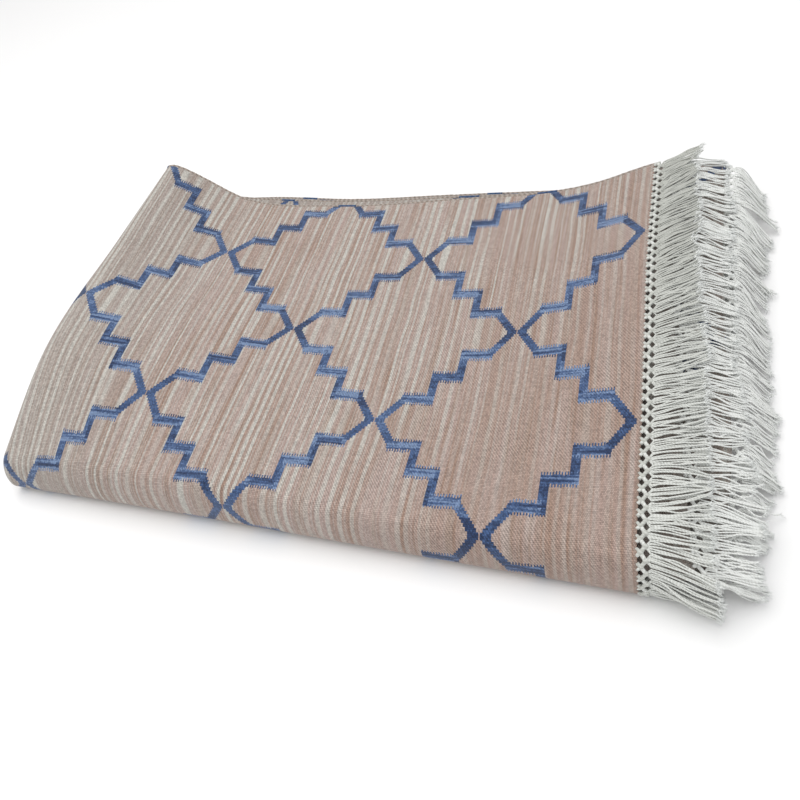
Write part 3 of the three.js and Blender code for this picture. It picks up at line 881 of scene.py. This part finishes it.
# knotted fringes
fringe = dict(                # mm, and counts
    pitch=14.2, firstRow=3.2, secondRow=8.2, fanStart=5.0, yarns=8, radius=0.92, steps=13, sides=5,
    stations=(170, 60, 150), backAlong=0.985, endMargin=0.5, lowest=0.05,
)
knot = dict(halfWidth=3.4, size=3.2, steps=6, sides=8, endMargin=1.2, along=0.8, lean=(0.5, 0.2),
            sizeSpread=0.08, roundness=0.98, slimmest=0.02, lowest=1.1)
leg = dict(radius=2.2, spread=0.25, start=-0.5, steps=4, sides=6, bulge=0.6, endMargin=0.3, lowest=0.1)
fray = dict(each=5, back=4.0, spread=0.3, lengths=(4.0, 9.0), lowest=0.6, radii=(0.55, 0.5, 0.12), sides=3)
topLength = dict(across=(0, 25, 60, 300, 615), mm=(70, 65, 60, 59, 61))
secondLength = dict(across=(0, 60, 615), mm=(50, 60, 60))
thirdLength = dict(across=(0, 60, 120, 300, 615), mm=(36, 41, 46, 59, 68))
firstSwing = dict(across=(0, 25, 45, 60, 100, 160, 230, 285, 430, 500, 615),
                  degrees=(-16, -4, 8, 14, 18, 27, 31, 36, 41, 46, 50))
secondSwing = dict(across=(0, 60, 200, 400, 615), degrees=(10, 8, 8, 10, 12))
thirdSwing = dict(across=(0, 60, 300, 615), degrees=(22, 12, 3, 8))
# how the yarns of a fringe differ, in mm and degrees
differ = dict(
    root=0.5, driftEvery=40, drift=4.0, knotSwing=2.5, yarnSwing=2.6, strayShare=0.035, straySwing=14.0,
    yarnLength=2.2, knotLength=2.0, layer=(-1.2, 2.2), yarnBend=0.07, knotBend=0.06, curlTurns=(0.6, 1.9),
    drawn=(0.15, 0.75), radius=0.07,
)
# the second end's yarns lie looser than the first's
lie = dict(
    first=dict(loose=1.0, curlAside=0.9, curlUp=0.45, newBunch=0.17, drawPower=2.0),
    second=dict(loose=2.2, curlAside=1.5, curlUp=0.8, newBunch=0.12, drawPower=1.2),
)
# how a yarn runs from its knot to its tip
course = dict(
    swingFrom=0.3, slopes=(-0.35, 0.3), layerAtRoot=0.5, tipShare=0.6, mostFall=0.75, rootSwing=0.7,
    swingGrowth=0.7, mostSwing=1.1, bendGrowth=2, rootBend=0.6, leaving=0.9, landing=0.8, tipRadius=0.75,
)
tipRest = dict(               # mm over the floor or over the layer below, and the most that a tip drops
    floor=2.5, outerBend=10.0, overSecond=4.5, dropInBend=20.0, dropOnTop=8.0, bendRate=1.3,
    innerBend=8.0, overThird=5.5, innerFloor=6.5,
)


# the open end from its far selvage round the near fold to the other selvage
def endLine(leftTurn):
    nearTurn, acrossRun = stations(*fringe["stations"])
    turn = np.full_like(nearTurn, leftTurn)
    edge = clothPoints(turn, np.ones_like(turn), nearTurn, acrossRun)
    back = clothPoints(turn, np.full_like(turn, fringe["backAlong"]), nearTurn, acrossRun)
    outward = unit(edge - back)
    line = unit(np.gradient(edge, axis=0))
    return dict(edge=edge, outward=outward, line=line, up=unit(np.cross(line, outward)),
                nearUp=np.sin(nearTurn), length=lengthsAlong(edge))


def readLine(end, key, at):
    values = end[key]
    if values.ndim == 1:
        return np.interp(at, end["length"], values)
    read = np.stack([np.interp(at, end["length"], values[:, k]) for k in range(3)], -1)
    return read if key == "edge" else unit(read)


# height that the tips come down to: the layer below, or the floor
def supportUnder(outer, nearUp, startZ, x, y):
    rest = tipRest
    _, second, third, _ = layerHeights(x, y)
    over, under = np.maximum(nearUp, 0), np.maximum(-nearUp, 0)
    if outer:
        tip = mix(rest["outerBend"], second + rest["overSecond"], over)
        drop = mix(rest["dropInBend"], rest["dropOnTop"], np.minimum(rest["bendRate"] * over, 1))
        tip = np.maximum(tip, startZ - drop)
        return np.where(nearUp >= 0, tip, mix(rest["outerBend"], rest["floor"], under))
    return np.where(nearUp >= 0, mix(rest["innerBend"], third + rest["overThird"], over),
                    mix(rest["innerBend"], rest["innerFloor"], under))


def yarnPaths(end, outer):
    own = lie["first" if outer else "second"]
    total = end["length"][-1]
    knots = int(round(total / fringe["pitch"]))
    pitch = total / knots
    knotAt = (np.arange(knots) + 0.5) * pitch
    each = fringe["yarns"]
    index = np.tile(np.arange(each), knots)
    at = np.repeat(knotAt, each)
    count = len(at)

    def byYarn(size):
        return rng.normal(0, size, count)

    def byKnot(size):
        return np.repeat(rng.normal(0, size, knots), each)

    spread = ((index + 0.5) / each - 0.5) * pitch + byYarn(differ["root"])
    nearUp = readLine(end, "nearUp", at)
    root = readLine(end, "edge", at) + readLine(end, "outward", at) * fringe["secondRow"]
    fanAt = np.clip(at + spread, fringe["endMargin"], total - fringe["endMargin"])
    outward = readLine(end, "outward", fanAt)
    edge = readLine(end, "edge", fanAt)

    def read(table, column):
        return np.interp(edge[:, 1], table["across"], table[column])

    if outer:
        swing = np.where(nearUp > course["swingFrom"], read(firstSwing, "degrees"), 0.0)
        length = read(topLength, "mm")
    else:
        swing = np.where(nearUp > 0, read(secondSwing, "degrees"), read(thirdSwing, "degrees"))
        length = np.where(nearUp > 0, read(secondLength, "mm"), read(thirdLength, "mm"))
    drifts = int(total / differ["driftEvery"])
    drift = np.interp(fanAt, np.linspace(0, total, drifts), rng.normal(0, differ["drift"], drifts))
    swing = swing + drift + byKnot(differ["knotSwing"] * own["loose"]) + byYarn(differ["yarnSwing"])
    stray = rng.random(count) < differ["strayShare"]
    swing = np.radians(swing + stray * byYarn(differ["straySwing"]))
    length = length + byYarn(differ["yarnLength"]) + byKnot(differ["knotLength"] * own["loose"])
    heading = np.arctan2(outward[:, 1], outward[:, 0])
    slope = np.clip(outward[:, 2] / np.hypot(outward[:, 0], outward[:, 1]), *course["slopes"])
    fan = edge + outward * (fringe["secondRow"] + fringe["fanStart"])
    layer = rng.uniform(*differ["layer"], count)
    t = np.linspace(0, 1, fringe["steps"])[None, :]
    bend = (byYarn(differ["yarnBend"]) + byKnot(differ["knotBend"]))[:, None]
    startZ = fan[:, 2] + layer * course["layerAtRoot"]
    level = supportUnder(outer, nearUp, startZ, fan[:, 0] + course["tipShare"] * length, fan[:, 1])
    fall = np.minimum(np.abs(startZ - level), course["mostFall"] * length)
    reach = np.sqrt(length**2 - fall**2)
    turned = np.minimum(course["rootSwing"] + course["swingGrowth"] * t, course["mostSwing"])
    angle = (heading[:, None] + swing[:, None] * turned
             + bend * (course["bendGrowth"] * t - course["rootBend"]))
    stepLength = (reach / (fringe["steps"] - 1))[:, None]
    dx = np.cos(angle) * stepLength
    dy = np.sin(angle) * stepLength
    x = fan[:, 0:1] + np.cumsum(dx, axis=1) - dx[:, :1]
    y = fan[:, 1:2] + np.cumsum(dy, axis=1) - dy[:, :1]
    tipZ = supportUnder(outer, nearUp, startZ, x[:, -1], y[:, -1]) + layer
    z = hermite(t, startZ[:, None], (slope * length * course["leaving"])[:, None],
                tipZ[:, None], ((tipZ - startZ) * course["landing"])[:, None])

    # slow curls, each yarn its own
    def curl(size):
        turns, phase = rng.uniform(*differ["curlTurns"], (count, 1)), rng.uniform(0, 1, (count, 1))
        wave = np.sin(2 * np.pi * (turns * t + phase)) - np.sin(2 * np.pi * phase)
        return rng.normal(0, size, (count, 1)) * wave

    aside = curl(own["curlAside"])
    x, y = x - np.sin(angle) * aside, y + np.cos(angle) * aside
    z = z + curl(own["curlUp"])
    # yarns drawn together in pointed bunches
    bunch = np.cumsum(rng.random(count) < own["newBunch"])
    members = np.bincount(bunch).astype(float)[:, None]
    draw = rng.uniform(*differ["drawn"], len(members))[bunch][:, None] * t ** own["drawPower"]
    for values in (x, y):
        centre = np.zeros((len(members), fringe["steps"]))
        np.add.at(centre, bunch, values)
        values += ((centre / members)[bunch] - values) * draw
    z = np.maximum(z, fringe["radius"] + fringe["lowest"])
    paths = np.concatenate([root[:, None, :], np.stack([x, y, z], -1)], axis=1)
    radii = np.full((count, fringe["steps"] + 1), fringe["radius"]) * (
        1 + differ["radius"] * rng.standard_normal((count, 1)))
    radii[:, -1] *= course["tipRadius"]
    return paths, radii, knotAt, pitch


# cut ends opening into short loose fibres
def frayPaths(paths):
    tip, before = paths[:, -1], paths[:, -2]
    heading = unit(tip - before)
    each = fray["each"]
    count = len(tip) * each
    base = np.repeat(tip - heading * fray["back"], each, axis=0)
    way = unit(np.repeat(heading, each, axis=0) + rng.normal(0, fray["spread"], (count, 3)))
    length = rng.uniform(*fray["lengths"], count)
    t = np.linspace(0, 1, len(fray["radii"]))[None, :, None]
    fibres = base[:, None] + way[:, None] * length[:, None, None] * t
    fibres[..., 2] = np.maximum(fibres[..., 2], fray["lowest"])
    return fibres, np.broadcast_to(np.array(fray["radii"]), (count, len(fray["radii"])))


# loops from the cloth to the first row of knots, and from it to the second
def netLegs(end, knotAt, pitch):
    firstAt = np.arange(len(knotAt) + 1) * pitch
    firstOut, secondOut = fringe["firstRow"], fringe["secondRow"]
    t = np.linspace(0, 1, leg["steps"])[None, :, None]
    legs = []
    for shift in (-leg["spread"] * pitch, leg["spread"] * pitch):
        for startAt, startOut, endAt, endOut in ((firstAt + shift, leg["start"], firstAt, firstOut),
                                                 (firstAt, firstOut, firstAt + 2 * shift, secondOut)):
            startAt, endAt = (np.clip(at, leg["endMargin"], end["length"][-1] - leg["endMargin"])
                              for at in (startAt, endAt))
            p = readLine(end, "edge", startAt) + readLine(end, "outward", startAt) * startOut
            q = readLine(end, "edge", endAt) + readLine(end, "outward", endAt) * endOut
            bulge = readLine(end, "up", startAt)[:, None] * np.sin(np.pi * t) * leg["bulge"]
            legs.append(p[:, None] * (1 - t) + q[:, None] * t + bulge)
    paths = np.concatenate(legs)
    paths[..., 2] = np.maximum(paths[..., 2], leg["radius"] + leg["lowest"])
    return paths, np.full(paths.shape[:2], leg["radius"])


# round knots as short fat tubes across the way of the yarns
def knotBlobs(end, knotAt, pitch):
    t = np.linspace(-1, 1, knot["steps"])[None, :, None]
    taper = np.sqrt(np.maximum(1 - (t[..., 0] * knot["roundness"]) ** 2, knot["slimmest"]))
    paths, radii = [], []
    firstAt = np.arange(len(knotAt) + 1) * pitch
    for at, out in ((firstAt, fringe["firstRow"]), (knotAt, fringe["secondRow"])):
        at = np.clip(at, knot["endMargin"], end["length"][-1] - knot["endMargin"])
        outward = readLine(end, "outward", at)
        centre = readLine(end, "edge", at) + outward * out
        line = readLine(end, "line", at) * knot["along"] - outward * rng.normal(*knot["lean"], (len(at), 1))
        path = centre[:, None] + line[:, None] * t * knot["halfWidth"]
        path[..., 2] = np.maximum(path[..., 2], knot["size"] * knot["lowest"])
        paths.append(path)
        size = knot["size"] * (1 + knot["sizeSpread"] * rng.standard_normal((len(at), 1)))
        radii.append(size * taper)
    return np.concatenate(paths), np.concatenate(radii)


def buildFringe(name, leftTurn, outer, node):
    end = endLine(leftTurn)
    paths, radii, knotAt, pitch = yarnPaths(end, outer)
    batches = [(paths, radii, fringe["sides"]), (*netLegs(end, knotAt, pitch), leg["sides"]),
               (*knotBlobs(end, knotAt, pitch), knot["sides"])]
    yarns = tubePiece(name, batches, shadedFirstCotton if outer else fringeCotton)
    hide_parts(node)
    cut = tubePiece(name + "CutEnds", [(*frayPaths(paths), fray["sides"])], cutCotton)
    return [yarns, cut]


firstFringe = buildFringe("firstFringe", quarter, True, "fringe_first_end")
secondFringe = buildFringe("secondFringe", -quarter, False, "fringe_second_end")
print("fringes made")

# floor and light
studio = dict(
    floorHalf=14.0, floorColour=(0.93, 0.93, 0.93), floorRoughness=0.9,
    world=(1.0, 1.0, 1.0), worldStrength=0.64,
    lights=(
        dict(name="keyLight", spot=(-0.55, 0.0, 2.4), size=2.6, power=43.5, colour=(1.0, 0.99, 0.98)),
        dict(name="fillLight", spot=(1.9, -0.6, 1.5), size=1.6, power=7.0, colour=(0.95, 0.97, 1.0)),
    ),
)


def buildFloor():
    mesh = bpy.data.meshes.new("floor")
    half = studio["floorHalf"]
    mesh.from_pydata([(-half, -half, 0), (half, -half, 0), (half, half, 0), (-half, half, 0)], [],
                     [(0, 1, 2, 3)])
    floor = bpy.data.objects.new("floor", mesh)
    bpy.context.scene.collection.objects.link(floor)
    material, _, shader = newMaterial("paleFloor")
    shader.inputs["Base Color"].default_value = (*studio["floorColour"], 1)
    shader.inputs["Roughness"].default_value = studio["floorRoughness"]
    mesh.materials.append(material)


def buildLight():
    world = bpy.data.worlds.new("studio")
    world.use_nodes = True
    background = world.node_tree.nodes["Background"]
    background.inputs["Color"].default_value = (*studio["world"], 1)
    background.inputs["Strength"].default_value = studio["worldStrength"]
    bpy.context.scene.world = world
    for light in studio["lights"]:
        data = bpy.data.lights.new(light["name"], "AREA")
        data.energy = light["power"]
        data.size = light["size"]
        data.color = light["colour"]
        lamp = bpy.data.objects.new(light["name"], data)
        lamp.location = light["spot"]
        towards = Vector((0, 0, 0)) - Vector(light["spot"])
        lamp.rotation_euler = towards.to_track_quat("-Z", "Y").to_euler()
        bpy.context.scene.collection.objects.link(lamp)


buildFloor()
buildLight()
bpy.context.scene.view_settings.view_transform = "Standard"
print("floor and light made")
